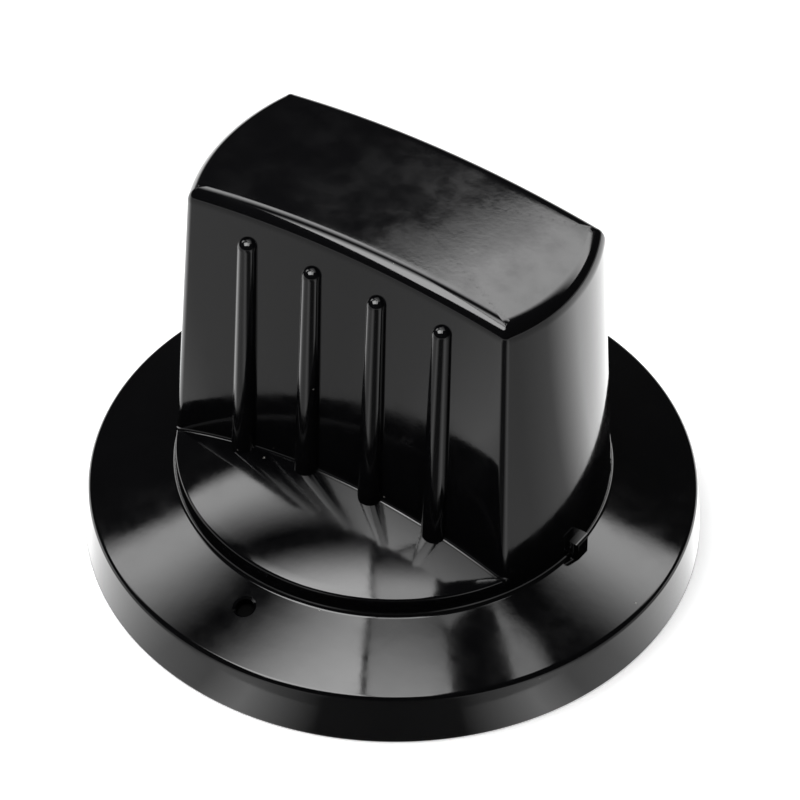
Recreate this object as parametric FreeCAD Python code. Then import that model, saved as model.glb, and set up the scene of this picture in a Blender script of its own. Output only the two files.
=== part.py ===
import FreeCAD, Part
import math
import os

from FreeCAD import Vector

# Oven control knob: one glossy moulding with a skirt, a domed hub and a tall grip bar, and the leaf spring
# in its boss that grips a D-shaped control shaft.
# Millimetres. +Z is the turning axis, pointing away from the appliance's panel. The origin is the centre of
# the skirt's lower rim. +X runs along the grip bar, to the end that carries the nib.

# Skirt
SKIRT_DIAMETER = 63.5
SKIRT_RIM_HEIGHT = 5.9
SKIRT_RIM_DRAFT = 4.3
SKIRT_EDGE_CHAMFER = 0.5
SKIRT_FACE_RISE = 2.9

# Hub
HUB_DIAMETER = 45.4
HUB_WALL_HEIGHT = 2.1
HUB_DOME_RADIUS = 60.0
HUB_EDGE_CHAMFER = 0.3

# Grip bar
KNOB_HEIGHT = 46.0
BAR_TOP_WIDTH = 18.7
BAR_FLANK_DRAFT = 1.92
BAR_END_DRAFT = 2.47
BAR_TOP_ARCH_RADIUS = 108.5
BAR_TOP_EDGE_RADIUS = 1.6
BAR_CORNER_RADIUS = 1.0

# Finger ribs on both flanks
RIB_COUNT = 4
RIB_PITCH = 7.75
RIB_TOP_DROP = 4.55
RIB_DIAMETER = 2.4

# Index marks
NIB_WIDTH = 2.1
NIB_HEIGHT = 1.9
NIB_PROUD = 1.05
NIB_EDGE_RADIUS = 0.3
NIB_ANGLE = -2.0
DOT_DIAMETER = 2.1
DOT_DEPTH = 1.2
DOT_CHAMFER = 0.2
DOT_CENTRE_RADIUS = 25.6
DOT_ANGLE = 266.6

# Hollow underside
WALL = 2.4
BOSS_DIAMETER = 12.0
BOSS_RECESS = 3.0
WEB_THICKNESS = 2.0
WEB_RECESS = 7.0

# Control shaft and its socket
SHAFT_DIAMETER = 6.35
SHAFT_FLAT_HEIGHT = 4.76
SHAFT_CLEARANCE = 0.05
GUIDE_CLEARANCE = 0.25
GUIDE_LENGTH = 6.0
SOCKET_DEPTH = 20.0
SOCKET_LEAD_IN = 0.5
CORE_DIAMETER = 3.0

# Leaf spring and the slot that it is pushed into
SPRING_THICKNESS = 0.4
SPRING_WIDTH = 2.6
SPRING_PRESS = 0.2
SPRING_FLAT_LENGTH = 4.5
SPRING_TAIL_RISE = 4.5
SPRING_TAIL_BEND = 3.0
SPRING_RECESS = 1.0
SPRING_SIDE_CLEARANCE = 0.1
SPRING_SEAT_CLEARANCE = 0.03
SPRING_TAIL_CLEARANCE = 0.25

# Places worked out from the sizes above
NEGLIGIBLE = 0.01
ORIGIN = Vector(0, 0, 0)
AXIS = Vector(0, 0, 1)
ALONG_BAR = Vector(1, 0, 0)
ACROSS_BAR = Vector(0, 1, 0)
SKIRT_FACE_RUN = (SKIRT_DIAMETER - HUB_DIAMETER) / 2
HUB_FOOT_HEIGHT = SKIRT_RIM_HEIGHT + SKIRT_FACE_RISE
HUB_EDGE_HEIGHT = HUB_FOOT_HEIGHT + HUB_WALL_HEIGHT
BAR_MIDDLE_HEIGHT = (HUB_EDGE_HEIGHT + KNOB_HEIGHT) / 2
SHAFT_RADIUS = SHAFT_DIAMETER / 2
SHAFT_FLAT = SHAFT_FLAT_HEIGHT - SHAFT_RADIUS
SOCKET_RADIUS = SHAFT_RADIUS + SHAFT_CLEARANCE
SOCKET_FLAT = SHAFT_FLAT + SHAFT_CLEARANCE
GUIDE_RADIUS = SHAFT_RADIUS + GUIDE_CLEARANCE
GUIDE_TOP = BOSS_RECESS + GUIDE_LENGTH
SOCKET_TOP = BOSS_RECESS + SOCKET_DEPTH

# The leaf's middle line across the bar: its pressing flat, its flared tail and the leg on the slot's wall
LEAF_FLAT = SHAFT_FLAT - SPRING_PRESS + SPRING_THICKNESS / 2
LEAF_TAIL = GUIDE_RADIUS + SPRING_TAIL_CLEARANCE + SPRING_THICKNESS / 2
LEAF_LEG = LEAF_TAIL + SPRING_THICKNESS + SPRING_SIDE_CLEARANCE
LEAF_TURN = (LEAF_LEG - LEAF_FLAT) / 2
LEAF_TAIL_HEIGHT = GUIDE_TOP + SPRING_TAIL_CLEARANCE
LEAF_CREST_HEIGHT = LEAF_TAIL_HEIGHT + SPRING_TAIL_RISE
LEAF_TURN_HEIGHT = LEAF_CREST_HEIGHT + SPRING_FLAT_LENGTH
SLOT_WALL = LEAF_LEG + SPRING_THICKNESS / 2 + SPRING_SEAT_CLEARANCE
SLOT_TOP = LEAF_TURN_HEIGHT + LEAF_TURN + SPRING_THICKNESS / 2 + SPRING_SIDE_CLEARANCE


def slope(degrees):
    """Run for each millimetre of rise on a face with this draft."""
    return math.tan(math.radians(degrees))


def polygon(points):
    """Flat face with straight sides."""
    return Part.Face(Part.makePolygon(points + points[:1]))


def centred_box(width, depth, low, high):
    """Box about the turning axis, between two heights."""
    return Part.makeBox(width, depth, high - low, Vector(-width / 2, -depth / 2, low))


def end_radius(height):
    """Radius of the hub's wall, which carries on up as the bar's two ends."""
    return HUB_DIAMETER / 2 - (height - HUB_FOOT_HEIGHT) * slope(BAR_END_DRAFT)


def flank_offset(height):
    """Half the bar's width at a height."""
    return BAR_TOP_WIDTH / 2 + (KNOB_HEIGHT - height) * slope(BAR_FLANK_DRAFT)


def skirt_face_height(radius):
    """Height of the skirt's conical face."""
    return SKIRT_RIM_HEIGHT + (SKIRT_DIAMETER / 2 - radius) * SKIRT_FACE_RISE / SKIRT_FACE_RUN


def dome_height(radius):
    """Height of the dome that the hub's two crescents lie on."""
    sagitta = HUB_DOME_RADIUS - math.sqrt(HUB_DOME_RADIUS ** 2 - end_radius(HUB_EDGE_HEIGHT) ** 2)
    fall = HUB_DOME_RADIUS - math.sqrt(HUB_DOME_RADIUS ** 2 - radius ** 2)
    return HUB_EDGE_HEIGHT + sagitta - fall


def turned(points, closing_edges):
    """Solid turned about the axis, from the corners of half its outline and the edges that close it."""
    sides = Part.makePolygon([Vector(0, radius, height) for radius, height in points])
    return Part.Face(Part.Wire(sides.Edges + closing_edges)).revolve(ORIGIN, AXIS, 360)


def skirt_and_hub():
    """Skirt and domed hub, turned about the axis, with their edges broken."""
    rim = SKIRT_DIAMETER / 2
    edge = end_radius(HUB_EDGE_HEIGHT)
    dome = [Vector(0, radius, dome_height(radius)) for radius in (edge - HUB_EDGE_CHAMFER, edge / 2, 0)]
    return turned([
        (0, dome_height(0)),
        (0, 0),
        (rim + SKIRT_RIM_HEIGHT * slope(SKIRT_RIM_DRAFT), 0),
        (rim + SKIRT_EDGE_CHAMFER * slope(SKIRT_RIM_DRAFT), SKIRT_RIM_HEIGHT - SKIRT_EDGE_CHAMFER),
        (rim - SKIRT_EDGE_CHAMFER, skirt_face_height(rim - SKIRT_EDGE_CHAMFER)),
        (HUB_DIAMETER / 2, HUB_FOOT_HEIGHT),
        (end_radius(HUB_EDGE_HEIGHT - HUB_EDGE_CHAMFER), HUB_EDGE_HEIGHT - HUB_EDGE_CHAMFER),
        (dome[0].y, dome[0].z),
    ], [Part.Arc(*dome).toShape()])


def skirt_and_hub_hollow(inset):
    """The same form shrunk by part or all of a wall, with straight sides, and reaching below the rim."""
    face_drop = inset * math.hypot(SKIRT_FACE_RUN, SKIRT_FACE_RISE) / SKIRT_FACE_RUN
    rim = SKIRT_DIAMETER / 2 - inset
    foot = HUB_DIAMETER / 2 - inset
    edge = end_radius(HUB_EDGE_HEIGHT) - inset
    near_bar = flank_offset(HUB_EDGE_HEIGHT)
    ceiling = dome_height(near_bar) - inset
    return turned([
        (0, ceiling),
        (0, -inset),
        (rim, -inset),
        (rim, skirt_face_height(rim) - face_drop),
        (foot, skirt_face_height(foot) - face_drop),
        (edge, dome_height(edge) - inset),
        (near_bar, ceiling),
        (0, ceiling),
    ], [])


def above_arch(inset):
    """What lies above the bar's arched top."""
    reach = 2 * SKIRT_DIAMETER
    centre = Vector(0, -reach / 2, KNOB_HEIGHT - BAR_TOP_ARCH_RADIUS)
    barrel = Part.makeCylinder(BAR_TOP_ARCH_RADIUS - inset, reach, centre, ACROSS_BAR)
    barrel.rotate(centre, ACROSS_BAR, 90)
    return centred_box(reach, reach / 2, KNOB_HEIGHT / 2, 2 * KNOB_HEIGHT).cut(barrel)


def grip_bar(inset=0.0):
    """The bar, from inside the hub to its arched top, with sharp edges, or the same shrunk by a wall."""
    low = HUB_FOOT_HEIGHT + HUB_WALL_HEIGHT / 2 - inset
    high = KNOB_HEIGHT + WALL
    reach = SKIRT_DIAMETER
    between_ends = Part.makeCone(
        end_radius(low) - inset, end_radius(high) - inset, high - low, Vector(0, 0, low))
    section = polygon([
        Vector(-reach, flank_offset(low) - inset, low),
        Vector(-reach, inset - flank_offset(low), low),
        Vector(-reach, inset - flank_offset(high), high),
        Vector(-reach, flank_offset(high) - inset, high),
    ])
    between_flanks = section.extrude(ALONG_BAR * 2 * reach)
    return between_ends.common(between_flanks).cut(above_arch(inset))


def bar_edge_radius(edge):
    """The rounding of an edge of the sharp bar: its top, its upright corners, or none at its foot."""
    box = edge.BoundBox
    if box.ZMin > BAR_MIDDLE_HEIGHT:
        return BAR_TOP_EDGE_RADIUS
    if box.ZMax > BAR_MIDDLE_HEIGHT:
        return BAR_CORNER_RADIUS
    return 0


def rounded_bar():
    """The bar with its top edges and upright corners rounded, each by its own radius."""
    document = FreeCAD.newDocument("rounding")
    sharp = document.addObject("Part::Feature", "sharp")
    sharp.Shape = grip_bar()
    rounding = document.addObject("Part::Fillet", "rounding")
    rounding.Base = sharp
    radii = [(number, bar_edge_radius(edge)) for number, edge in enumerate(sharp.Shape.Edges, 1)]
    rounding.Edges = [(number, radius, radius) for number, radius in radii if radius]
    document.recompute()
    shape = rounding.Shape.copy()
    FreeCAD.closeDocument(document.Name)
    return shape


def hollow_form(inset):
    """The knob's form shrunk by part or all of a wall."""
    return skirt_and_hub_hollow(inset).fuse(grip_bar(inset))


def finger_rib(place, side):
    """One half-round rib up a flank, with a ball for its top."""
    radius = RIB_DIAMETER / 2
    top_height = KNOB_HEIGHT - RIB_TOP_DROP - radius
    top = Vector(place, side * flank_offset(top_height), top_height)
    foot = Vector(place, side * flank_offset(HUB_EDGE_HEIGHT), HUB_EDGE_HEIGHT)
    stem = Part.makeCylinder(radius, (top - foot).Length, foot, top - foot)
    return stem.fuse(Part.makeSphere(radius, top, top - foot))


def finger_ribs():
    """The ribs of both flanks."""
    places = [(number - (RIB_COUNT - 1) / 2) * RIB_PITCH for number in range(RIB_COUNT)]
    return [finger_rib(place, side) for place in places for side in (-1, 1)]


def nib():
    """Small block at the hub's foot, at one end of the bar."""
    reach = HUB_DIAMETER / 2 + NIB_PROUD
    low = skirt_face_height(reach) - WALL / 2
    root = HUB_DIAMETER / 2 - WALL / 2
    top = HUB_FOOT_HEIGHT + NIB_HEIGHT
    block = Part.makeBox(reach - root, NIB_WIDTH, top - low, Vector(root, -NIB_WIDTH / 2, low))
    outer_edges = [edge for edge in block.Edges if edge.BoundBox.XMin > reach - NEGLIGIBLE]
    block = block.makeFillet(NIB_EDGE_RADIUS, outer_edges)
    block.rotate(ORIGIN, AXIS, NIB_ANGLE)
    return block


def index_dot():
    """Round recess in the skirt's face, square to it, with a broken edge."""
    radius = DOT_DIAMETER / 2
    pit = Part.makeCylinder(radius, 2 * DOT_DEPTH, Vector(0, 0, -DOT_DEPTH))
    mouth = Part.makeCone(radius, radius + 2 * DOT_CHAMFER, 2 * DOT_CHAMFER, Vector(0, 0, -DOT_CHAMFER))
    dot = pit.fuse(mouth)
    face_angle = math.degrees(math.atan2(SKIRT_FACE_RISE, SKIRT_FACE_RUN))
    dot.rotate(ORIGIN, ACROSS_BAR, face_angle)
    dot.translate(Vector(DOT_CENTRE_RADIUS, 0, skirt_face_height(DOT_CENTRE_RADIUS)))
    dot.rotate(ORIGIN, AXIS, DOT_ANGLE)
    return dot


def boss_and_webs():
    """Central boss and the cross of webs that ties it to the walls, ending inside the walls' thickness."""
    boss = Part.makeCylinder(BOSS_DIAMETER / 2, KNOB_HEIGHT, Vector(0, 0, BOSS_RECESS))
    along = centred_box(SKIRT_DIAMETER, WEB_THICKNESS, WEB_RECESS, KNOB_HEIGHT)
    across = centred_box(WEB_THICKNESS, BAR_TOP_WIDTH, WEB_RECESS, KNOB_HEIGHT)
    return boss.fuse([along, across]).common(hollow_form(WALL / 2))


def shaft_socket():
    """Round guide at the boss's mouth, D-shaped socket above it, and a core hole that thins the boss."""
    below = 2 * SOCKET_LEAD_IN
    guide = Part.makeCylinder(GUIDE_RADIUS, GUIDE_LENGTH + below, Vector(0, 0, BOSS_RECESS - below))
    lead_in = Part.makeCone(
        GUIDE_RADIUS + 2 * SOCKET_LEAD_IN, GUIDE_RADIUS, 2 * SOCKET_LEAD_IN,
        Vector(0, 0, BOSS_RECESS - SOCKET_LEAD_IN))
    d_part = Part.makeCylinder(SOCKET_RADIUS, SOCKET_TOP - GUIDE_TOP, Vector(0, 0, GUIDE_TOP))
    beyond_flat = Part.makeBox(
        2 * BOSS_DIAMETER, BOSS_DIAMETER, SOCKET_DEPTH, Vector(-BOSS_DIAMETER, SOCKET_FLAT, GUIDE_TOP))
    core = Part.makeCylinder(
        CORE_DIAMETER / 2, KNOB_HEIGHT - 2 * WALL - GUIDE_TOP, Vector(0, 0, GUIDE_TOP))
    return guide.fuse([lead_in, d_part.cut(beyond_flat), core])


def spring_slot():
    """Slot beside the socket, open at the boss's mouth, that holds the leaf spring."""
    width = SPRING_WIDTH + 2 * SPRING_SIDE_CLEARANCE
    low = BOSS_RECESS - SOCKET_LEAD_IN
    return Part.makeBox(width, SLOT_WALL, SLOT_TOP - low, Vector(-width / 2, 0, low))


def knob_body():
    """The whole moulding."""
    solid = skirt_and_hub().fuse([rounded_bar(), nib()] + finger_ribs())
    shell = solid.cut(hollow_form(WALL)).fuse(boss_and_webs())
    return shell.cut([shaft_socket(), spring_slot(), index_dot()]).removeSplitter().Solids[0]


def shaft_spring():
    """Leaf bent to a hairpin: a leg on the slot's wall, a turn, a flat for the shaft and a flared tail."""
    def at(across, height):
        return Vector(0, across, height)

    flare = math.atan2(LEAF_TAIL - LEAF_FLAT, LEAF_CREST_HEIGHT - LEAF_TAIL_HEIGHT)
    trim = SPRING_TAIL_BEND * math.tan(flare / 2)
    bend_start = at(LEAF_FLAT, LEAF_CREST_HEIGHT + trim)
    bend_end = at(LEAF_FLAT + trim * math.sin(flare), LEAF_CREST_HEIGHT - trim * math.cos(flare))
    bend_middle = at(
        LEAF_FLAT + SPRING_TAIL_BEND * (1 - math.cos(flare / 2)),
        bend_start.z - SPRING_TAIL_BEND * math.sin(flare / 2))
    leg_low = at(LEAF_LEG, BOSS_RECESS + SPRING_RECESS)
    leg_top = at(LEAF_LEG, LEAF_TURN_HEIGHT)
    crown = at((LEAF_LEG + LEAF_FLAT) / 2, LEAF_TURN_HEIGHT + LEAF_TURN)
    flat_top = at(LEAF_FLAT, LEAF_TURN_HEIGHT)
    path = Part.Wire([
        Part.makeLine(leg_low, leg_top),
        Part.Arc(leg_top, crown, flat_top).toShape(),
        Part.makeLine(flat_top, bend_start),
        Part.Arc(bend_start, bend_middle, bend_end).toShape(),
        Part.makeLine(bend_end, at(LEAF_TAIL, LEAF_TAIL_HEIGHT)),
    ])
    half_width = SPRING_WIDTH / 2
    half_thickness = SPRING_THICKNESS / 2
    strip = Part.makePolygon([
        leg_low + Vector(-half_width, -half_thickness, 0),
        leg_low + Vector(half_width, -half_thickness, 0),
        leg_low + Vector(half_width, half_thickness, 0),
        leg_low + Vector(-half_width, half_thickness, 0),
        leg_low + Vector(-half_width, -half_thickness, 0),
    ])
    return path.makePipeShell([strip], True, False)


def main():
    os.makedirs("parts", exist_ok=True)
    knob_body().exportStep("parts/knob_body.step")
    shaft_spring().exportStep("parts/shaft_spring.step")


if __name__ == "__main__":
    main()
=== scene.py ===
"""Looks of an oven control knob: a glossy black moulding, the leaf spring in its boss, and a photo studio.

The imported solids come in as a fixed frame. The moulding is modelled again with its fine roundings and
stands for its solid; the spring keeps its solid and gets a finish. Sizes are in millimetres, and the scene
is in metres.
"""

import logging
import math
from dataclasses import dataclass, field
from enum import Enum
from typing import Callable, Optional, Sequence

import bpy
from mathutils import Matrix, Vector


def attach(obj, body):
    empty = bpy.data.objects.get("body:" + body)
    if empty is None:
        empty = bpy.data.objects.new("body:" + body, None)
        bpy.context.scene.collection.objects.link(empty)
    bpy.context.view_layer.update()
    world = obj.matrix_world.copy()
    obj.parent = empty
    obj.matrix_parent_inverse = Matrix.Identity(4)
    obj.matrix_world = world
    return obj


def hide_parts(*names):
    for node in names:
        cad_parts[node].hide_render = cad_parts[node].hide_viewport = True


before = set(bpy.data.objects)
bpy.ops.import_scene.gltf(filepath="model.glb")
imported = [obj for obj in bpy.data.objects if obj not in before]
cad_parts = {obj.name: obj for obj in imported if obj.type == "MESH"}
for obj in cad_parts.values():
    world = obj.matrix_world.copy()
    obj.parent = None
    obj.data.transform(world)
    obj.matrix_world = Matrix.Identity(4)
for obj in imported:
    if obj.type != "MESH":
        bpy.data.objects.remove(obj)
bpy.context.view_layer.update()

MM = 0.001
Pair = tuple[float, float]
Test = Callable[[Vector], bool]
log = logging.getLogger("oven_knob")


class Join(Enum):
    """How one solid is combined with another."""

    ADD = "UNION"
    CUT = "DIFFERENCE"


class Mark(Enum):
    """Attributes on the moulding's corners that its finish reads."""

    WORN = "worn"


class Side(Enum):
    """The two flanks of the grip bar, by the sign of Y."""

    FRONT = -1
    BACK = 1


def deselect() -> None:
    """Leave edit mode and deselect every object, the CAD nodes among them."""
    if bpy.context.object and bpy.context.object.mode != "OBJECT":
        bpy.ops.object.mode_set(mode="OBJECT")
    bpy.ops.object.select_all(action="DESELECT")


def activate(piece: bpy.types.Object) -> None:
    """Make a piece the only selected and the active object."""
    deselect()
    piece.select_set(True)
    bpy.context.view_layer.objects.active = piece


def freeze() -> None:
    """Put the active object's place, turn and scale into its mesh."""
    bpy.ops.object.transform_apply(location=True, rotation=True, scale=True)


def edit_faces() -> None:
    """Edit the active object with all its faces selected."""
    bpy.ops.object.mode_set(mode="EDIT")
    bpy.ops.mesh.select_mode(type="FACE")
    bpy.ops.mesh.select_all(action="SELECT")


def settle(piece: bpy.types.Object, place: Matrix) -> bpy.types.Object:
    """Move a piece and put its place into its mesh.

    Args:
        piece: The piece to move.
        place: Where its own origin goes, in metres.

    Returns:
        The same piece, at the origin, unturned and unscaled.
    """
    piece.matrix_world = place
    activate(piece)
    freeze()
    return piece


def combine(piece: bpy.types.Object, other: bpy.types.Object, how: Join) -> None:
    """Add a solid to a piece or cut it out of it, and use that solid up.

    Args:
        piece: The piece that changes.
        other: The solid that is added or cut.
        how: Whether it is added or cut.
    """
    modifier = piece.modifiers.new("combine", "BOOLEAN")
    modifier.operation = how.value
    modifier.solver = "MANIFOLD"
    modifier.object = other
    activate(piece)
    bpy.ops.object.modifier_apply(modifier=modifier.name)
    bpy.data.objects.remove(other, do_unlink=True)


def turned(name: str, outline: Sequence[Pair], steps: int) -> bpy.types.Object:
    """Turn a closed solid about the Z axis by drawing a disc up along half its outline.

    Args:
        name: The piece's name.
        outline: Radius and height pairs from the lowest disc to the highest, in millimetres.
        steps: Corners of the disc.

    Returns:
        The new piece.
    """
    radius, height = outline[0]
    deselect()
    bpy.ops.mesh.primitive_circle_add(
        vertices=steps, radius=radius * MM, fill_type="NGON", location=(0, 0, height * MM))
    piece = bpy.context.object
    piece.name = name
    freeze()
    edit_faces()
    for (before, low), (after, high) in zip(outline, outline[1:]):
        bpy.ops.mesh.extrude_region_move(TRANSFORM_OT_translate={"value": (0, 0, (high - low) * MM)})
        scale = after / before
        bpy.ops.transform.resize(value=(scale, scale, 1), center_override=(0, 0, high * MM))
    close_normals()
    return piece


def lofted(name: str, rings: Sequence[Sequence[Vector]]) -> bpy.types.Object:
    """Draw a disc up through a row of rings and set each of its corners on them.

    Args:
        name: The piece's name.
        rings: Rings of equally many points, a multiple of 4, seen anticlockwise from above, in millimetres.

    Returns:
        The new piece.
    """
    count = len(rings[0])
    deselect()
    bpy.ops.mesh.primitive_circle_add(vertices=count, radius=1, fill_type="NGON")
    piece = bpy.context.object
    piece.name = name
    edit_faces()
    for _ in rings[1:]:
        bpy.ops.mesh.extrude_region_move(TRANSFORM_OT_translate={"value": (0, 0, 1)})
    bpy.ops.object.mode_set(mode="OBJECT")
    for corner in piece.data.vertices:
        turn = math.atan2(corner.co.y, corner.co.x) / math.tau
        corner.co = rings[round(corner.co.z)][round(turn * count) % count] * MM
    bpy.ops.object.mode_set(mode="EDIT")
    close_normals()
    return piece


def block(name: str, low: Vector, high: Vector) -> bpy.types.Object:
    """Rectangular block between two corners, in millimetres.

    Args:
        name: The piece's name.
        low: Its lowest corner.
        high: Its highest corner.

    Returns:
        The new piece.
    """
    deselect()
    bpy.ops.mesh.primitive_cube_add(size=1, location=(low + high) / 2 * MM)
    piece = bpy.context.object
    piece.name = name
    piece.scale = (high - low) * MM
    freeze()
    return piece


def close_normals() -> None:
    """Merge the doubles of the mesh in edit mode, turn its faces outwards and leave edit mode."""
    bpy.ops.mesh.select_all(action="SELECT")
    bpy.ops.mesh.remove_doubles(threshold=0.0002 * MM)
    bpy.ops.mesh.normals_make_consistent(inside=False)
    bpy.ops.object.mode_set(mode="OBJECT")


def bevel_edges(piece: bpy.types.Object, test: Test, width: float, segments: int) -> None:
    """Round the edges whose two ends pass a test.

    Args:
        piece: The piece to change.
        test: Says of a corner, in millimetres, whether it counts.
        width: Width of the rounding in millimetres.
        segments: Steps across the rounding.
    """
    activate(piece)
    bpy.ops.object.mode_set(mode="EDIT")
    bpy.ops.mesh.select_mode(type="EDGE")
    bpy.ops.mesh.select_all(action="DESELECT")
    bpy.ops.object.mode_set(mode="OBJECT")
    corners = piece.data.vertices
    for edge in piece.data.edges:
        edge.select = all(test(corners[number].co / MM) for number in edge.vertices)
    bpy.ops.object.mode_set(mode="EDIT")
    bpy.ops.mesh.bevel(offset=width * MM, segments=segments, profile=0.5, affect="EDGES")
    close_normals()


def rounded(before: Pair, corner: Pair, after: Pair, radius: float, steps: int) -> list[Pair]:
    """Points of the arc that rounds one corner of an outline.

    Args:
        before: The outline's point before the corner.
        corner: The corner.
        after: The outline's point after it.
        radius: Radius of the rounding.
        steps: Steps along the arc.

    Returns:
        The arc's points, in the outline's order.
    """
    back = (Vector(before) - Vector(corner)).normalized()
    ahead = (Vector(after) - Vector(corner)).normalized()
    half = back.angle(ahead) / 2
    centre = Vector(corner) + (back + ahead).normalized() * radius / math.sin(half)
    first = Vector(corner) + back * radius / math.tan(half) - centre
    last = Vector(corner) + ahead * radius / math.tan(half) - centre
    sweep = math.pi - 2 * half
    points = []
    for step in range(steps + 1):
        share = step / steps
        spoke = first * math.sin((1 - share) * sweep) + last * math.sin(share * sweep)
        points.append(tuple(centre + spoke / math.sin(sweep)))
    return points


def slope(degrees: float) -> float:
    """Run for each unit of rise on a face with this draft."""
    return math.tan(math.radians(degrees))


def linear(code: str) -> tuple[float, float, float, float]:
    """Linear colour of an sRGB hex code.

    Args:
        code: The colour as #rrggbb.

    Returns:
        Red, green, blue and full opacity.
    """
    tones = [int(code[place:place + 2], 16) / 255 for place in (1, 3, 5)]
    return (*[tone / 12.92 if tone <= 0.04045 else ((tone + 0.055) / 1.055) ** 2.4 for tone in tones], 1.0)


def add_node(
        tree: bpy.types.NodeTree, kind: str, inputs: Optional[dict] = None, **settings) -> bpy.types.Node:
    """Add a node with its settings, values and links.

    Args:
        tree: The tree that gets it.
        kind: The node's type.
        inputs: Values or other nodes' outputs, by the name or number of the socket that they go to.
        settings: The node's own properties.

    Returns:
        The new node.
    """
    node = tree.nodes.new(kind)
    for key, value in settings.items():
        setattr(node, key, value)
    for key, value in (inputs or {}).items():
        if isinstance(value, bpy.types.NodeSocket):
            tree.links.new(value, node.inputs[key])
        else:
            node.inputs[key].default_value = value
    return node


def new_material(name: str) -> bpy.types.Material:
    """Empty node material."""
    material = bpy.data.materials.new(name)
    material.use_nodes = True
    material.node_tree.nodes.clear()
    return material


def dress(piece: bpy.types.Object, material: bpy.types.Material) -> None:
    """Give a piece one material and nothing else."""
    piece.data.materials.clear()
    piece.data.materials.append(material)


@dataclass(frozen=True)
class GlossyPhenolic:
    """Black phenolic resin, pressed in a polished mould.

    The eye gets a deep black with clear mirror images in it. They waver a little, because the skin isn't
    quite flat, their edges break up into grain, and a few grains of dust stand out. The top is dulled by
    fingers, so it shows only a soft, mottled sheen.
    """

    name: str = "black_phenolic_moulding"
    colour: str = "#050506"
    dust: str = "#6a6864"
    ior: float = 1.5
    sharp: float = 0.05
    hazy: float = 0.12
    worn_sharp: float = 0.09
    worn_hazy: float = 0.19
    patch_mm: float = 4.0
    wave_mm: float = 2.6
    wave_height_mm: float = 0.004
    grain_mm: float = 0.5
    grain_height_mm: float = 0.004
    dust_apart_mm: float = 2.8

    def material(self) -> bpy.types.Material:
        """Build the material on Object coordinates and on the moulding's own mark of wear."""
        material = new_material(self.name)
        tree = material.node_tree
        place = add_node(tree, "ShaderNodeTexCoord").outputs["Object"]
        worn = add_node(tree, "ShaderNodeAttribute", attribute_name=Mark.WORN.value).outputs["Fac"]
        patches, waves, grain = [
            add_node(tree, "ShaderNodeTexNoise", {
                "Vector": place, "Scale": 1 / (size * MM), "Detail": detail, "Roughness": rough,
            }).outputs["Fac"]
            for size, detail, rough in (
                (self.patch_mm, 4.0, 0.6), (self.wave_mm, 1.0, 0.4), (self.grain_mm, 2.0, 0.6))]
        bright = add_node(tree, "ShaderNodeMapRange", {
            "Value": patches, "From Min": 0.35, "From Max": 0.68,
            "To Min": self.sharp, "To Max": self.hazy})
        dull = add_node(tree, "ShaderNodeMapRange", {
            "Value": patches, "From Min": 0.35, "From Max": 0.65,
            "To Min": self.worn_sharp, "To Max": self.worn_hazy})
        roughness = add_node(tree, "ShaderNodeMix", {
            "Factor": worn, 2: bright.outputs["Result"], 3: dull.outputs["Result"]})
        broad = add_node(tree, "ShaderNodeBump", {
            "Height": waves, "Strength": 1.0, "Distance": self.wave_height_mm * MM})
        bite = add_node(tree, "ShaderNodeMapRange", {"Value": worn, "To Min": 0.3, "To Max": 1.0})
        fine = add_node(tree, "ShaderNodeBump", {
            "Height": grain, "Strength": bite.outputs["Result"],
            "Distance": self.grain_height_mm * MM, "Normal": broad.outputs["Normal"]})
        cells = add_node(tree, "ShaderNodeTexVoronoi", {
            "Vector": place, "Scale": 1 / (self.dust_apart_mm * MM), "Randomness": 1.0})
        pick = add_node(tree, "ShaderNodeSeparateColor", {"Color": cells.outputs["Color"]})
        reach = add_node(tree, "ShaderNodeMapRange", {
            "Value": pick.outputs["Red"], "From Min": 0.7, "From Max": 1.0, "To Min": 0.0, "To Max": 0.05})
        speck = add_node(tree, "ShaderNodeMath", {
            0: cells.outputs["Distance"], 1: reach.outputs["Result"]}, operation="LESS_THAN")
        colour = add_node(tree, "ShaderNodeMix", {
            "Factor": speck.outputs["Value"], 6: linear(self.colour), 7: linear(self.dust)},
            data_type="RGBA")
        shader = add_node(tree, "ShaderNodeBsdfPrincipled", {
            "Base Color": colour.outputs[2], "Roughness": roughness.outputs[0], "IOR": self.ior,
            "Normal": fine.outputs["Normal"]})
        add_node(tree, "ShaderNodeOutputMaterial", {"Surface": shader.outputs["BSDF"]})
        return material


@dataclass(frozen=True)
class MattPhenolic:
    """The same resin where a drill has left it matt, in the sunk dot.

    The eye gets a black hole with hardly a gleam in it.
    """

    name: str = "black_phenolic_drilled"
    colour: str = "#060606"
    shade: str = "#020202"
    roughness: float = 0.75
    shine: float = 0.03
    tooth_mm: float = 0.3

    def material(self) -> bpy.types.Material:
        """Build the material on Object coordinates."""
        material = new_material(self.name)
        tree = material.node_tree
        place = add_node(tree, "ShaderNodeTexCoord").outputs["Object"]
        tooth = add_node(tree, "ShaderNodeTexNoise", {"Vector": place, "Scale": 1 / (self.tooth_mm * MM)})
        colour = add_node(tree, "ShaderNodeMix", {
            "Factor": tooth.outputs["Fac"], 6: linear(self.shade), 7: linear(self.colour)},
            data_type="RGBA")
        shader = add_node(tree, "ShaderNodeBsdfPrincipled", {
            "Base Color": colour.outputs[2], "Roughness": self.roughness, "Specular IOR Level": self.shine})
        add_node(tree, "ShaderNodeOutputMaterial", {"Surface": shader.outputs["BSDF"]})
        return material


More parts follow.
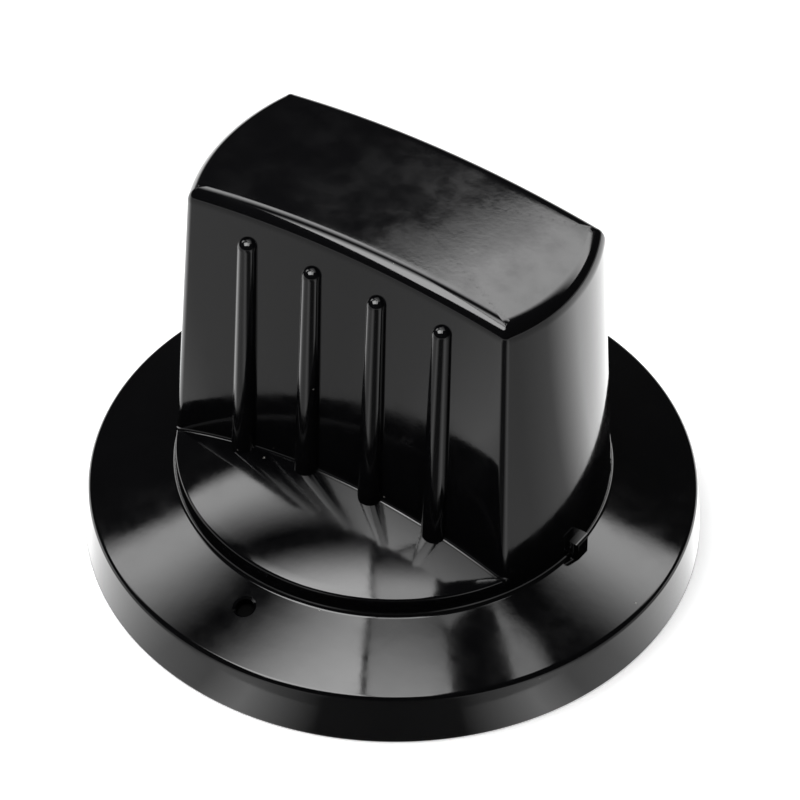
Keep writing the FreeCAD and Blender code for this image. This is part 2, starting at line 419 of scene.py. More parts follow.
@dataclass(frozen=True)
class SpringSteel:
    """Cold-rolled spring steel strip, left bare.

    The eye gets a grey metal with fine rolling lines along the strip and soft, drawn-out highlights.
    """

    name: str = "spring_steel_strip"
    colour: str = "#9a9b9c"
    shade: str = "#77797b"
    roughness: float = 0.3
    line_mm: float = 0.12
    run_mm: float = 6.0

    def material(self) -> bpy.types.Material:
        """Build the material on Object coordinates, with its lines along the strip's length."""
        material = new_material(self.name)
        tree = material.node_tree
        place = add_node(tree, "ShaderNodeTexCoord").outputs["Object"]
        across, along = 1 / (self.line_mm * MM), 1 / (self.run_mm * MM)
        stretch = add_node(tree, "ShaderNodeMapping", {"Vector": place, "Scale": (across, along, along)})
        lines = add_node(tree, "ShaderNodeTexNoise", {
            "Vector": stretch.outputs["Vector"], "Scale": 1.0, "Detail": 3.0})
        colour = add_node(tree, "ShaderNodeMix", {
            "Factor": lines.outputs["Fac"], 6: linear(self.shade), 7: linear(self.colour)},
            data_type="RGBA")
        roughness = add_node(tree, "ShaderNodeMapRange", {
            "Value": lines.outputs["Fac"], "To Min": self.roughness - 0.08, "To Max": self.roughness + 0.1})
        relief = add_node(tree, "ShaderNodeBump", {
            "Height": lines.outputs["Fac"], "Strength": 0.6, "Distance": 0.004 * MM})
        shader = add_node(tree, "ShaderNodeBsdfPrincipled", {
            "Base Color": colour.outputs[2], "Metallic": 1.0, "Roughness": roughness.outputs["Result"],
            "Normal": relief.outputs["Normal"]})
        add_node(tree, "ShaderNodeOutputMaterial", {"Surface": shader.outputs["BSDF"]})
        return material


@dataclass(frozen=True)
class PalePaper:
    """White paper on a light table, with a barely visible tooth.

    The eye gets plain white with a soft, short shadow, because half of the paper's light comes from below.
    """

    name: str = "white_background_paper"
    colour: str = "#f2f2f2"
    shade: str = "#eaeaea"
    tooth_mm: float = 3.0
    glow: float = 0.55

    def material(self) -> bpy.types.Material:
        """Build the material on Object coordinates."""
        material = new_material(self.name)
        tree = material.node_tree
        place = add_node(tree, "ShaderNodeTexCoord").outputs["Object"]
        tooth = add_node(tree, "ShaderNodeTexNoise", {"Vector": place, "Scale": 1 / (self.tooth_mm * MM)})
        colour = add_node(tree, "ShaderNodeMix", {
            "Factor": tooth.outputs["Fac"], 6: linear(self.shade), 7: linear(self.colour)},
            data_type="RGBA")
        paper = add_node(tree, "ShaderNodeBsdfDiffuse", {"Color": colour.outputs[2]})
        light = add_node(tree, "ShaderNodeEmission", {"Strength": self.glow})
        shader = add_node(tree, "ShaderNodeAddShader", {
            0: paper.outputs["BSDF"], 1: light.outputs["Emission"]})
        add_node(tree, "ShaderNodeOutputMaterial", {"Surface": shader.outputs["Shader"]})
        return material


@dataclass(frozen=True)
class LitFabric:
    """A softbox's lit front, which fades over rise and fall, or else is evenly lit.

    The eye gets only its image in the gloss: a light patch with soft near and far edges.
    """

    name: str
    radiance: float
    rise: Pair = (-2000, -1900)
    fall: Pair = (1900, 2000)

    def material(self) -> bpy.types.Material:
        """Build the material on the panel's own depth: dark to full over rise, full to dark over fall."""
        material = new_material(self.name)
        tree = material.node_tree
        place = add_node(tree, "ShaderNodeTexCoord").outputs["Object"]
        depth = add_node(tree, "ShaderNodeSeparateXYZ", {"Vector": place}).outputs["Y"]
        near = add_node(tree, "ShaderNodeMapRange", {
            "Value": depth, "From Min": self.rise[0] * MM, "From Max": self.rise[1] * MM},
            interpolation_type="SMOOTHSTEP")
        far = add_node(tree, "ShaderNodeMapRange", {
            "Value": depth, "From Min": self.fall[0] * MM, "From Max": self.fall[1] * MM,
            "To Min": self.radiance, "To Max": 0.0}, interpolation_type="SMOOTHSTEP")
        glow = add_node(tree, "ShaderNodeMath", {
            0: near.outputs["Result"], 1: far.outputs["Result"]}, operation="MULTIPLY")
        shader = add_node(tree, "ShaderNodeEmission", {"Strength": glow.outputs["Value"]})
        add_node(tree, "ShaderNodeOutputMaterial", {"Surface": shader.outputs["Emission"]})
        return material


@dataclass(frozen=True)
class PaintedReflectionGlow:
    """Painted reflection of the floor, glowing only for the gloss, by the angle from the camera's side
    round to the back.

    The eye gets only its image in the rim: painted shade in front, where the knob's shadow would lie on the
    floor, with light bands further round.
    """

    name: str
    levels: tuple[Pair, ...]
    brightest: float = 2.5

    def material(self) -> bpy.types.Material:
        """Build the material on the angle about the card's own Z."""
        material = new_material(self.name)
        tree = material.node_tree
        place = add_node(tree, "ShaderNodeTexCoord").outputs["Object"]
        turn = add_node(tree, "ShaderNodeTexGradient", {"Vector": place}, gradient_type="RADIAL")
        aside = add_node(tree, "ShaderNodeMath", {0: turn.outputs["Fac"], 1: 0.5}, operation="SUBTRACT")
        away = add_node(tree, "ShaderNodeMath", {0: aside.outputs["Value"]}, operation="ABSOLUTE")
        share = add_node(tree, "ShaderNodeMath", {0: away.outputs["Value"], 1: 2.0}, operation="MULTIPLY")
        ramp = add_node(tree, "ShaderNodeValToRGB", {"Fac": share.outputs["Value"]})
        stops = ramp.color_ramp.elements
        while len(stops) < len(self.levels):
            stops.new(0.5)
        # Low levels in front paint the knob's shadow into the reflection, high levels paint the lit floor
        for stop, (angle, level) in zip(stops, self.levels):
            stop.position = angle / 180
            stop.color = (*[level / self.brightest] * 3, 1)
        shader = add_node(tree, "ShaderNodeEmission", {
            "Color": ramp.outputs["Color"], "Strength": self.brightest})
        add_node(tree, "ShaderNodeOutputMaterial", {"Surface": shader.outputs["Emission"]})
        return material


@dataclass
class SkirtAndHub:
    """Round skirt with a conical face, and the low domed hub on it."""

    diameter: float = 63.5
    rim_height: float = 5.9
    rim_draft: float = 4.3
    rim_rounding: float = 0.7
    base_rounding: float = 0.25
    face_rise: float = 2.9
    hub_diameter: float = 45.4
    hub_wall_height: float = 2.1
    hub_wall_draft: float = 2.47
    hub_edge_rounding: float = 0.35
    hub_foot_rounding: float = 0.55
    dome_radius: float = 60.0
    face_rings: tuple[float, ...] = (29.0, 26.5, 24.5)
    dome_margin: float = 1.0
    pole_radius: float = 1.0
    hollow_rounding: float = 0.5
    hollow_pole_radius: float = 2.0
    steps: int = 288
    base_steps: int = 5
    rim_steps: int = 12
    hub_steps: int = 8
    dome_steps: int = 22
    hollow_steps: int = 14

    @property
    def foot_height(self) -> float:
        """Height of the hub's foot."""
        return self.rim_height + self.face_rise

    @property
    def edge_height(self) -> float:
        """Height of the hub's edge, before its rounding."""
        return self.foot_height + self.hub_wall_height

    @property
    def face_run(self) -> float:
        """Width of the skirt's face, seen from above."""
        return (self.diameter - self.hub_diameter) / 2

    def wall_radius(self, height: float) -> float:
        """Radius of the hub's wall, which carries on up as the bar's ends."""
        return self.hub_diameter / 2 - (height - self.foot_height) * slope(self.hub_wall_draft)

    def face_height(self, radius: float) -> float:
        """Height of the skirt's face."""
        return self.rim_height + (self.diameter / 2 - radius) * self.face_rise / self.face_run

    def dome_height(self, radius: float) -> float:
        """Height of the dome."""
        edge = self.wall_radius(self.edge_height)
        return self.edge_height + math.sqrt(self.dome_radius ** 2 - radius ** 2) - math.sqrt(
            self.dome_radius ** 2 - edge ** 2)

    def outline(self) -> list[Pair]:
        """Half outline from the base's edge up to the middle of the dome."""
        rim = (self.diameter / 2, self.rim_height)
        base = (rim[0] + self.rim_height * slope(self.rim_draft), 0.0)
        foot = (self.hub_diameter / 2, self.foot_height)
        edge_radius = self.wall_radius(self.edge_height)
        edge = (edge_radius, self.edge_height)
        dome_start = edge_radius - self.dome_margin
        near_edge = (dome_start, self.dome_height(dome_start))
        points = rounded((0.0, 0.0), base, rim, self.base_rounding, self.base_steps)
        points += rounded(base, rim, foot, self.rim_rounding, self.rim_steps)
        points += [(radius, self.face_height(radius)) for radius in self.face_rings]
        points += rounded(rim, foot, edge, self.hub_foot_rounding, self.hub_steps)
        points += rounded(foot, edge, near_edge, self.hub_edge_rounding, self.hub_steps)
        ring_width = (dome_start - self.pole_radius) / self.dome_steps
        dome = [dome_start - step * ring_width for step in range(self.dome_steps + 1)]
        return points + [(radius, self.dome_height(radius)) for radius in dome]

    def build(self) -> bpy.types.Object:
        """Turn the solid form."""
        return turned("skirt_and_hub", self.outline(), self.steps)

    def hollow(self, wall: float) -> bpy.types.Object:
        """Turn the hollow under the skirt and hub.

        Args:
            wall: Thickness of the moulding's walls.

        Returns:
            The form that is cut out, which reaches below the rim.
        """
        drop = wall * math.hypot(self.face_run, self.face_rise) / self.face_run
        rim_radius = self.diameter / 2 - wall
        foot_radius = self.hub_diameter / 2 - wall
        mouth = (rim_radius, -wall)
        rim = (rim_radius, self.face_height(rim_radius) - drop)
        foot = (foot_radius, self.face_height(foot_radius) - drop)
        edge = self.wall_radius(self.edge_height) - wall
        ring_width = (edge - self.hollow_pole_radius) / self.hollow_steps
        under_dome = [edge - step * ring_width for step in range(self.hollow_steps + 1)]
        outline = [mouth]
        outline += rounded(mouth, rim, foot, self.hollow_rounding, self.base_steps)
        outline += [foot]
        outline += [(radius, self.dome_height(radius) - wall) for radius in under_dome]
        return turned("skirt_hollow", outline, self.steps // 2)


@dataclass
class GripBar:
    """Tall bar across the hub, with drafted flanks, round ends and an arched top."""

    skirt: SkirtAndHub
    height: float = 45.99
    top_width: float = 18.7
    flank_draft: float = 1.92
    arch_radius: float = 108.5
    top_rounding: float = 1.75
    corner_rounding: float = 1.0
    foot_rounding: float = 0.3
    proud_of_hub: float = 0.008
    least_corner: float = 0.3
    root_depth: float = 0.6
    foot_depth: float = 0.4
    wall_shares: tuple[float, ...] = (0.0, 0.2, 0.4, 0.6, 0.8, 0.92)
    hollow_shoulder: float = 8.0
    ceiling_drop: float = 0.6
    ceiling_inset: float = 0.4
    top_slack: float = 0.002
    flank_steps: int = 48
    corner_steps: int = 8
    end_steps: int = 24
    foot_steps: int = 6
    edge_steps: int = 14
    top_steps: int = 16
    ceiling_steps: int = 6
    search_rounds: int = 4

    @property
    def half_steps(self) -> int:
        """Points on half the bar's outline: a flank, a corner, an end and a corner."""
        return self.flank_steps + 2 * self.corner_steps + self.end_steps

    def flank_offset(self, height: float) -> float:
        """Half the bar's width at a height."""
        return self.top_width / 2 + (self.height - height) * slope(self.flank_draft)

    def arch_height(self, along: float) -> float:
        """Height of the arched top at a place along the bar."""
        return self.height - self.arch_radius + math.sqrt(self.arch_radius ** 2 - along ** 2)

    def on_top(self, corner: Vector) -> bool:
        """Whether a corner, in metres, lies on the arched top."""
        return abs(corner.z / MM - self.arch_height(corner.x / MM)) < self.top_slack

    def outline_point(self, step: int, height: float, inset: float = 0.0) -> tuple[Vector, Vector, float]:
        """One point of the bar's outline.

        Args:
            step: Its number, from the left end of the front flank, anticlockwise from above.
            height: Height of the section.
            inset: How far the outline is shrunk.

        Returns:
            The point and the outward direction, both in plan, and 1 on a flank down to 0 at an end.
        """
        half, number = divmod(step, self.half_steps)
        flank = self.flank_offset(height) - inset
        end = self.skirt.wall_radius(height) - inset + self.proud_of_hub
        corner = max(self.corner_rounding - inset, self.least_corner)
        corner_x = math.sqrt((end - corner) ** 2 - (flank - corner) ** 2)
        corner_turn = math.atan2(flank - corner, corner_x)
        on_flank = 1.0
        if number < self.flank_steps:
            point = Vector((-corner_x + 2 * corner_x * number / self.flank_steps, -flank))
            outward = Vector((0.0, -1.0))
        elif number < self.flank_steps + self.corner_steps:
            share = (number - self.flank_steps) / self.corner_steps
            turn = -math.pi / 2 + share * (math.pi / 2 - corner_turn)
            outward = Vector((math.cos(turn), math.sin(turn)))
            point = Vector((corner_x, corner - flank)) + outward * corner
            on_flank = 1 - share
        elif number < self.half_steps - self.corner_steps:
            share = (number - self.flank_steps - self.corner_steps) / self.end_steps
            turn = corner_turn * (2 * share - 1)
            outward = Vector((math.cos(turn), math.sin(turn)))
            point = outward * end
            on_flank = 0.0
        else:
            share = (number - self.half_steps + self.corner_steps) / self.corner_steps
            turn = corner_turn + share * (math.pi / 2 - corner_turn)
            outward = Vector((math.cos(turn), math.sin(turn)))
            point = Vector((corner_x, flank - corner)) + outward * corner
            on_flank = share
        sign = -1 if half else 1
        return point * sign, outward * sign, on_flank

    def under_top(self, step: int, drop: float) -> float:
        """Height on the wall, a drop below the arched top above it."""
        height = self.height - drop
        for _ in range(self.search_rounds):
            point, _, _ = self.outline_point(step, height)
            height = self.arch_height(point.x) - drop
        return height

    def above_dome(self, step: int, rise: float) -> float:
        """Height on the wall, a rise above the dome."""
        height = self.skirt.edge_height
        for _ in range(self.search_rounds):
            point, _, _ = self.outline_point(step, height)
            height = self.skirt.dome_height(min(point.length, self.skirt.hub_diameter / 2)) + rise
        return height

    def ring(self, place: Callable[[int], Vector]) -> list[Vector]:
        """A ring with each of its points worked out from its number."""
        return [place(step) for step in range(2 * self.half_steps)]

    def foot_point(self, step: int, spread: float, rise: float) -> Vector:
        """Point of the small rounding in which a flank runs out on the dome."""
        point, outward, on_flank = self.outline_point(step, self.above_dome(step, rise))
        out = point + outward * spread * on_flank
        return Vector((*out, self.above_dome(step, rise)))

    def wall_point(self, step: int, share: float) -> Vector:
        """Point of the wall, from the foot rounding at 0 to the top rounding at 1."""
        low = self.above_dome(step, self.foot_rounding)
        height = low + share * (self.under_top(step, self.top_rounding) - low)
        point, _, _ = self.outline_point(step, height)
        return Vector((*point, height))

    def top_point(self, step: int, turn: float, scale: float = 1.0) -> Vector:
        """Point of the top rounding at a turn from the wall, or, scaled, of the arched top inside it."""
        point, outward, _ = self.outline_point(step, self.under_top(step, self.top_rounding))
        place = (point - outward * self.top_rounding * (1 - math.cos(turn))) * scale
        return Vector((*place, self.arch_height(place.x) - self.top_rounding * (1 - math.sin(turn))))

    def build(self) -> bpy.types.Object:
        """Loft the bar from inside the hub to the middle of its arched top."""
        low = self.skirt.foot_height - self.root_depth
        quarter = math.pi / 2
        rings = [self.ring(lambda step: Vector((*self.outline_point(step, low)[0], low)))]
        rings.append(self.ring(lambda step: self.foot_point(step, self.foot_rounding, -self.foot_depth)))
        for number in range(self.foot_steps):
            turn = quarter * (1 - number / self.foot_steps)
            spread = self.foot_rounding * (1 - math.cos(turn))
            rise = self.foot_rounding * (1 - math.sin(turn))
            rings.append(self.ring(lambda step: self.foot_point(step, spread, rise)))
        for share in self.wall_shares:
            rings.append(self.ring(lambda step: self.wall_point(step, share)))
        for number in range(self.edge_steps + 1):
            rings.append(self.ring(lambda step: self.top_point(step, quarter * number / self.edge_steps)))
        for number in range(1, self.top_steps + 1):
            scale = 1 - number / (self.top_steps + 0.5)
            rings.append(self.ring(lambda step: self.top_point(step, quarter, scale)))
        return lofted("grip_bar", rings)

    def hollow(self, wall: float) -> bpy.types.Object:
        """Loft the hollow inside the bar.

        Args:
            wall: Thickness of the moulding's walls.

        Returns:
            The form that is cut out.
        """
        low = self.skirt.foot_height - wall

        def at(step: int, height: float) -> Vector:
            """Point of the hollow's wall."""
            point, _, _ = self.outline_point(step, height, wall)
            return Vector((*point, min(height, self.arch_height(point.x) - wall)))

        rings = [self.ring(lambda step: at(step, low))]
        rings.append(self.ring(lambda step: at(step, self.height - self.hollow_shoulder)))
        rings.append(self.ring(lambda step: at(step, self.under_top(step, wall + self.ceiling_drop))))
        for number in range(self.ceiling_steps):
            scale = 1 - number / (self.ceiling_steps + 0.5)
            rings.append(self.ring(lambda step: self.ceiling_point(step, wall, scale)))
        return lofted("bar_hollow", rings)

    def ceiling_point(self, step: int, wall: float, scale: float) -> Vector:
        """Point of the hollow's arched ceiling."""
        point, _, _ = self.outline_point(step, self.height - wall, wall + self.ceiling_inset)
        place = point * scale
        return Vector((*place, self.arch_height(place.x) - wall))


@dataclass
class FingerRibs:
    """Half-round ribs up both flanks, thicker at the foot, each with a ball for its top."""

    bar: GripBar
    count: int = 4
    pitch: float = 7.75
    top_drop: float = 4.55
    top_diameter: float = 2.1
    foot_diameter: float = 2.7
    steps: int = 48
    ball_steps: int = 12

    def build(self) -> bpy.types.Object:
        """Turn one rib, set copies of it along both flanks and join them."""
        skirt = self.bar.skirt
        ball = self.top_diameter / 2
        length = self.bar.height - self.top_drop - ball - skirt.edge_height
        outline = [(self.foot_diameter / 2, 0.0), (ball, length)]
        for step in range(1, self.ball_steps):
            turn = math.pi / 2 * step / self.ball_steps
            outline.append((ball * math.cos(turn), length + ball * math.sin(turn)))
        pattern = turned("finger_ribs", outline, self.steps)
        copies = []
        for number in range(self.count):
            for side in Side:
                along = (number - (self.count - 1) / 2) * self.pitch
                across = side.value * self.bar.flank_offset(skirt.edge_height)
                lean = Matrix.Rotation(math.radians(side.value * self.bar.flank_draft), 4, "X")
                rib = pattern.copy()
                rib.data = pattern.data.copy()
                bpy.context.scene.collection.objects.link(rib)
                settle(rib, Matrix.Translation(Vector((along, across, skirt.edge_height)) * MM) @ lean)
                copies.append(rib)
        bpy.data.objects.remove(pattern, do_unlink=True)
        activate(copies[0])
        for rib in copies:
            rib.select_set(True)
        bpy.ops.object.join()
        return bpy.context.object


@dataclass
class IndexMarks:
    """Small nib at the hub's foot, and a round dot sunk in the skirt."""

    skirt: SkirtAndHub
    nib_width: float = 2.1
    nib_height: float = 1.9
    nib_proud: float = 1.05
    nib_rounding: float = 0.3
    nib_root: float = 2.2
    nib_sunk: float = 1.0
    nib_turn: float = -2.0
    dot_diameter: float = 2.0
    dot_depth: float = 1.2
    dot_lip: float = 0.24
    dot_centre: float = 25.6
    dot_turn: float = 266.6
    slack: float = 0.02
    nib_steps: int = 5
    dot_steps: int = 64

    def nib(self) -> bpy.types.Object:
        """Block at one end of the bar, with its outer edges rounded."""
        reach = self.skirt.hub_diameter / 2 + self.nib_proud
        foot = self.skirt.face_height(reach) - self.nib_sunk
        low = Vector((reach - self.nib_root, -self.nib_width / 2, foot))
        high = Vector((reach, self.nib_width / 2, self.skirt.foot_height + self.nib_height))
        piece = block("nib", low, high)
        bevel_edges(piece, lambda corner: corner.x > reach - self.slack, self.nib_rounding, self.nib_steps)
        return settle(piece, Matrix.Rotation(math.radians(self.nib_turn), 4, "Z"))

    def dot(self) -> bpy.types.Object:
        """Pit with a rounded lip, square to the skirt's face."""
        radius = self.dot_diameter / 2
        outline = [(radius, -self.dot_depth), (radius, -self.dot_lip)]
        outline += [(radius + self.dot_lip, 0.0), (radius + 2 * self.dot_lip, self.dot_lip)]
        return settle(turned("dot", outline, self.dot_steps), self.dot_place())

    def dot_place(self) -> Matrix:
        """Place of the dot's middle, with its Z square to the skirt's face."""
        tilt = Matrix.Rotation(math.atan2(self.skirt.face_rise, self.skirt.face_run), 4, "Y")
        place = Vector((self.dot_centre, 0, self.skirt.face_height(self.dot_centre))) * MM
        return Matrix.Rotation(math.radians(self.dot_turn), 4, "Z") @ Matrix.Translation(place) @ tilt

    def in_dot(self, place: Vector) -> bool:
        """Whether the middle of a face, in metres, lies on the wall or the floor of the dot."""
        local = self.dot_place().inverted() @ place / MM
        within = math.hypot(local.x, local.y) < self.dot_diameter / 2 + self.slack
        return within and -self.dot_depth - self.slack < local.z < -self.slack


@dataclass
class ShaftSeat:
    """Boss under the knob, its webs, the socket for the shaft and the slot for the spring."""

    bar: GripBar
    boss_diameter: float = 12.0
    boss_low: float = 3.0
    web_thickness: float = 2.0
    web_low: float = 7.0
    guide_radius: float = 3.425
    guide_top: float = 9.0
    socket_radius: float = 3.225
    socket_flat: float = 1.635
    socket_top: float = 23.0
    lead_in: float = 0.5
    core_radius: float = 1.5
    core_top: float = 41.2
    slot_width: float = 2.8
    slot_wall: float = 4.605
    slot_top: float = 19.945
    boss_rounding: float = 0.3
    cover: float = 1.0
    web_half_length: float = 31.0
    web_half_width: float = 10.0
    overlap: float = 0.5
    slot_below: float = 1.0
    steps: int = 96
    rounding_steps: int = 5

    def posts(self) -> list[bpy.types.Object]:
        """Boss and webs, which stay when the hollow is cut."""
        top = self.bar.height - self.cover
        radius = self.boss_diameter / 2
        middle, corner, end = (0, self.boss_low), (radius, self.boss_low), (radius, top)
        outline = rounded(middle, corner, end, self.boss_rounding, self.rounding_steps)
        boss = turned("boss", outline + [end], self.steps)
        half, length, width = self.web_thickness / 2, self.web_half_length, self.web_half_width
        along = block("web_along", Vector((-length, -half, self.web_low)), Vector((length, half, top)))
        across = block("web_across", Vector((-half, -width, self.web_low)), Vector((half, width, top)))
        return [boss, along, across]

    def cuts(self) -> list[bpy.types.Object]:
        """Round guide with a lead-in, D-shaped socket, core hole and the spring's slot."""
        mouth = self.boss_low
        guide = turned("guide", [
            (self.guide_radius + 2 * self.lead_in, mouth - self.lead_in),
            (self.guide_radius, mouth + self.lead_in),
            (self.guide_radius, self.guide_top)], self.steps)
        socket = turned("socket", [
            (self.socket_radius, self.guide_top - self.overlap),
            (self.socket_radius, self.socket_top)], self.steps)
        activate(socket)
        edit_faces()
        bpy.ops.mesh.bisect(
            plane_co=(0, self.socket_flat * MM, 0), plane_no=(0, 1, 0), use_fill=True, clear_outer=True)
        close_normals()
        core = turned("core", [
            (self.core_radius, self.socket_top - self.overlap),
            (self.core_radius, self.core_top)], self.steps // 2)
        half_slot = self.slot_width / 2
        slot_low = Vector((-half_slot, 0, mouth - self.slot_below))
        slot = block("slot", slot_low, Vector((half_slot, self.slot_wall, self.slot_top)))
        return [guide, socket, core, slot]


@dataclass
class Moulding:
    """The whole black moulding, in one piece."""

    wall: float = 2.4
    smooth_angle: float = 28.0
    skirt: SkirtAndHub = field(default_factory=SkirtAndHub)
    finish: GlossyPhenolic = field(default_factory=GlossyPhenolic)
    dot_finish: MattPhenolic = field(default_factory=MattPhenolic)

    def build(self) -> bpy.types.Object:
        """Model the form, hollow it, and cut what the shaft and the spring need."""
        bar = GripBar(self.skirt)
        marks = IndexMarks(self.skirt)
        seat = ShaftSeat(bar)
        piece = self.skirt.build()
        for part in (bar.build(), FingerRibs(bar).build(), marks.nib()):
            combine(piece, part, Join.ADD)
        hollow = self.skirt.hollow(self.wall)
        combine(hollow, bar.hollow(self.wall), Join.ADD)
        for post in seat.posts():
            combine(hollow, post, Join.CUT)
        for part in [hollow, marks.dot()] + seat.cuts():
            combine(piece, part, Join.CUT)
        piece.name = "moulding"
        self.smooth(piece)
        self.mark(piece, Mark.WORN, bar.on_top)
        dress(piece, self.finish.material())
        piece.data.materials.append(self.dot_finish.material())
        for face in piece.data.polygons:
            face.material_index = int(marks.in_dot(face.center))
        return piece

    def mark(self, piece: bpy.types.Object, mark: Mark, test: Test) -> None:
        """Write one of the finish's attributes.

        Args:
            piece: The moulding.
            mark: The attribute.
            test: Says of a corner, in metres, whether it gets the mark.
        """
        values = [float(test(corner.co)) for corner in piece.data.vertices]
        piece.data.attributes.new(mark.value, "FLOAT", "POINT").data.foreach_set("value", values)

    def smooth(self, piece: bpy.types.Object) -> None:
        """Shade the roundings smooth and keep the large faces true.

        Args:
            piece: The finished moulding.
        """
        activate(piece)
        bpy.ops.object.mode_set(mode="EDIT")
        close_normals()
        bpy.ops.object.shade_smooth_by_angle(angle=math.radians(self.smooth_angle), keep_sharp_edges=False)
        modifier = piece.modifiers.new("weigh", "WEIGHTED_NORMAL")
        modifier.keep_sharp = True
        modifier.weight = 50
        bpy.ops.object.modifier_apply(modifier=modifier.name)


@dataclass
class ShaftSpring:
    """The leaf spring in the boss, which keeps its CAD node."""

    node: str = "shaft_spring"
    finish: SpringSteel = field(default_factory=SpringSteel)

    def dress(self) -> bpy.types.Object:
        """Give the node its finish."""
        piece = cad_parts[self.node]
        dress(piece, self.finish.material())
        return piece


@dataclass
class Softbox:
    """A lit panel overhead, placed in the camera's own directions: to its right, and away from it."""

    name: str
    height: float
    aside: Pair
    depth: Pair
    radiance: float
    rise: Pair
    fall: Pair

    def build(self, turn: float) -> None:
        """Hang the panel.

        Args:
            turn: The camera's turn about Z in degrees.
        """
        deselect()
        middle = Vector((sum(self.aside) / 2, sum(self.depth) / 2, self.height)) * MM
        bpy.ops.mesh.primitive_plane_add(size=1, location=middle)
        panel = bpy.context.object
        panel.name = self.name
        panel.scale = ((self.aside[1] - self.aside[0]) * MM, (self.depth[1] - self.depth[0]) * MM, 1)
        freeze()
        panel.rotation_euler = (0, 0, math.radians(turn))
        panel.visible_camera = False
        dress(panel, LitFabric(self.name + "_fabric", self.radiance, self.rise, self.fall).material())


@dataclass
class FrontScreen:
    """Curved white screen round the camera's side, low enough for the camera to look over it."""

    name: str = "front_screen"
    radius: float = 450.0
    low: float = 25.0
    high: float = 330.0
    half_turn: float = 75.0
    radiance: float = 3.2
    steps: int = 144

    def build(self, turn: float) -> None:
        """Set the screen up.

        Args:
            turn: The camera's turn about Z in degrees.
        """
        deselect()
        base = (0, 0, self.low * MM)
        bpy.ops.mesh.primitive_circle_add(
            vertices=self.steps, radius=self.radius * MM, fill_type="NOTHING", location=base)
        screen = bpy.context.object
        screen.name = self.name
        freeze()
        bpy.ops.object.mode_set(mode="EDIT")
        bpy.ops.mesh.select_all(action="SELECT")
        rise = (0, 0, (self.high - self.low) * MM)
        bpy.ops.mesh.extrude_region_move(TRANSFORM_OT_translate={"value": rise})
        bpy.ops.mesh.select_all(action="SELECT")
        cut = -math.cos(math.radians(self.half_turn)) * self.radius * MM
        bpy.ops.mesh.bisect(plane_co=(0, cut, 0), plane_no=(0, 1, 0), clear_outer=True)
        bpy.ops.object.mode_set(mode="OBJECT")
        screen.rotation_euler = (0, 0, math.radians(turn))
        screen.visible_camera = False
        dress(screen, LitFabric("screen_fabric", self.radiance).material())


@dataclass
class PaintedReflectionCard:
    """A glowing ring round the knob that only its gloss sees: a painted reflection of the floor, with
    painted shade in front.
    """

    name: str
    inner: float
    outer: float
    levels: tuple[Pair, ...]
    lift: float = 0.05
    steps: int = 180

    def build(self, turn: float) -> None:
        """Lay the ring.

        Args:
            turn: The camera's turn about Z in degrees.
        """
        deselect()
        bpy.ops.mesh.primitive_circle_add(
            vertices=self.steps, radius=self.outer * MM, fill_type="NGON", location=(0, 0, self.lift * MM))
        ring = bpy.context.object
        ring.name = self.name
        freeze()
        edit_faces()
        bpy.ops.mesh.inset(thickness=(self.outer - self.inner) * MM)
        bpy.ops.mesh.delete(type="ONLY_FACE")
        bpy.ops.object.mode_set(mode="OBJECT")
        ring.rotation_euler = (0, 0, math.radians(turn - 90))
        # Hidden from the camera, from diffuse light and from shadows, so it shows only as a painted
        # reflection
        ring.visible_camera = False
        ring.visible_diffuse = False
        ring.visible_shadow = False
        dress(ring, PaintedReflectionGlow(self.name + "_light", self.levels).material())


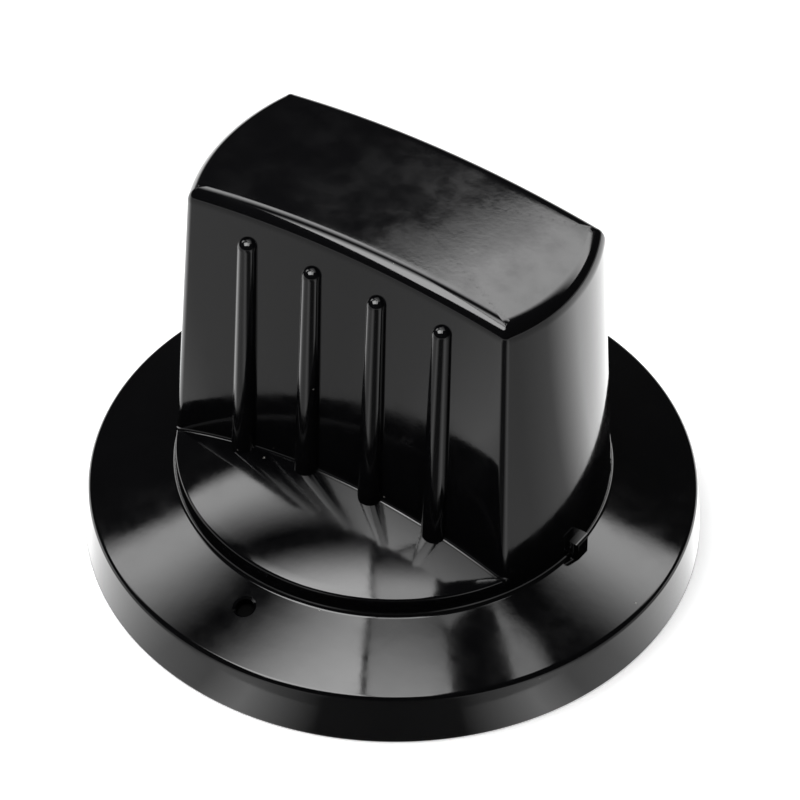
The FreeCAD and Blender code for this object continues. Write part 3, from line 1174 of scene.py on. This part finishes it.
@dataclass
class Studio:
    """Pale floor, softboxes overhead and behind, and the camera at the photograph's place."""

    floor_size: float = 8.0
    surround: float = 0.03
    azimuth: float = 32.47
    elevation: float = 44.26
    roll: float = 0.0117
    distance: float = 745.0
    aim_height: float = 15.0
    shift: Pair = (0.6356, 1.6525)
    focal_pixels: float = 7210.0
    picture: float = 800.0
    sensor: float = 36.0

    def softboxes(self) -> list[Softbox]:
        """A high strip behind, and a low, broken one overhead."""
        # Height, extent aside and in depth, radiance, and the depths over which the light rises and falls
        return [
            Softbox("back_strip", 250, (-330, 330), (56, 194), 5.6, (56, 142), (160, 194)),
            Softbox("overhead_left", 120, (-72, -10), (-65, 12), 8.5, (-66, -65), (-18, 12)),
            Softbox("overhead_right", 120, (-8, 20), (-65, 0), 5.5, (-66, -65), (-18, 0)),
            Softbox("overhead_spot", 120, (40, 52), (-12, 8), 3.2, (-13, -10), (2, 8)),
        ]

    def cards(self) -> list[PaintedReflectionCard]:
        """Painted reflection of the floor: dark in front of the camera as painted shadow of the knob,
        lighter towards the back.
        """
        # Degrees from the camera's side, and the radiance there; the low radiance in front is painted shade
        near = (
            (0, 0.08), (14, 0.1), (22, 1.0), (30, 2.0), (39, 0.8),
            (50, 0.9), (65, 1.8), (80, 2.4), (180, 2.4))
        far = (
            (0, 0.08), (14, 0.1), (20, 0.5), (32, 1.1), (46, 0.6),
            (58, 0.5), (76, 0.6), (98, 2.1), (180, 2.3))
        return [PaintedReflectionCard("near_painted_reflection", 32.3, 37.0, near), PaintedReflectionCard("far_painted_reflection", 37.0, 400.0, far)]

    def build(self) -> None:
        """Lay the floor, hang the lights and place the camera."""
        self.lay_floor()
        for softbox in self.softboxes():
            softbox.build(self.azimuth)
        FrontScreen().build(self.azimuth)
        # Rings seen only in the gloss, which paint the floor's reflection and the knob's shadow in it
        for card in self.cards():
            card.build(self.azimuth)
        world = bpy.data.worlds.new("dim_surround")
        bpy.context.scene.world = world
        world.use_nodes = True
        world.node_tree.nodes["Background"].inputs["Color"].default_value = (*[self.surround] * 3, 1)
        self.place_camera()
        view = bpy.context.scene.view_settings
        view.view_transform = "Standard"
        view.look = "None"
        view.exposure = 0.0

    def lay_floor(self) -> None:
        """Pale paper that the rim stands on."""
        deselect()
        bpy.ops.mesh.primitive_plane_add(size=self.floor_size, location=(0, 0, 0))
        floor = bpy.context.object
        floor.name = "floor"
        dress(floor, PalePaper().material())

    def place_camera(self) -> None:
        """Camera at the place worked out from the photograph's outline."""
        turn, rise = math.radians(self.azimuth), math.radians(self.elevation)
        back = Vector((math.sin(turn) * math.cos(rise), -math.cos(turn) * math.cos(rise), math.sin(rise)))
        level = Vector((math.cos(turn), math.sin(turn), 0))
        upright = back.cross(level)
        right = level * math.cos(self.roll) + upright * math.sin(self.roll)
        up = upright * math.cos(self.roll) - level * math.sin(self.roll)
        aside = right * self.shift[0] + up * self.shift[1]
        eye = Vector((0, 0, self.aim_height)) + back * self.distance + aside
        data = bpy.data.cameras.new("camera")
        data.sensor_width = self.sensor
        data.lens = self.sensor * self.focal_pixels / self.picture
        data.clip_start = 0.01
        data.clip_end = 50.0
        camera = bpy.data.objects.new("camera", data)
        bpy.context.scene.collection.objects.link(camera)
        facing = Matrix((right, up, back)).transposed().to_4x4()
        camera.matrix_world = Matrix.Translation(eye * MM) @ facing
        bpy.context.scene.camera = camera


def main() -> None:
    """Build and dress the pieces, then the studio."""
    logging.basicConfig(level=logging.INFO, format="%(name)s: %(message)s")
    moulding = Moulding().build()
    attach(moulding, "root")
    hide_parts("knob_body")
    log.info("%s: %d faces", moulding.name, len(moulding.data.polygons))
    spring = ShaftSpring().dress()
    log.info("%s: %d faces", spring.name, len(spring.data.polygons))
    Studio().build()


if __name__ == "__main__":
    main()
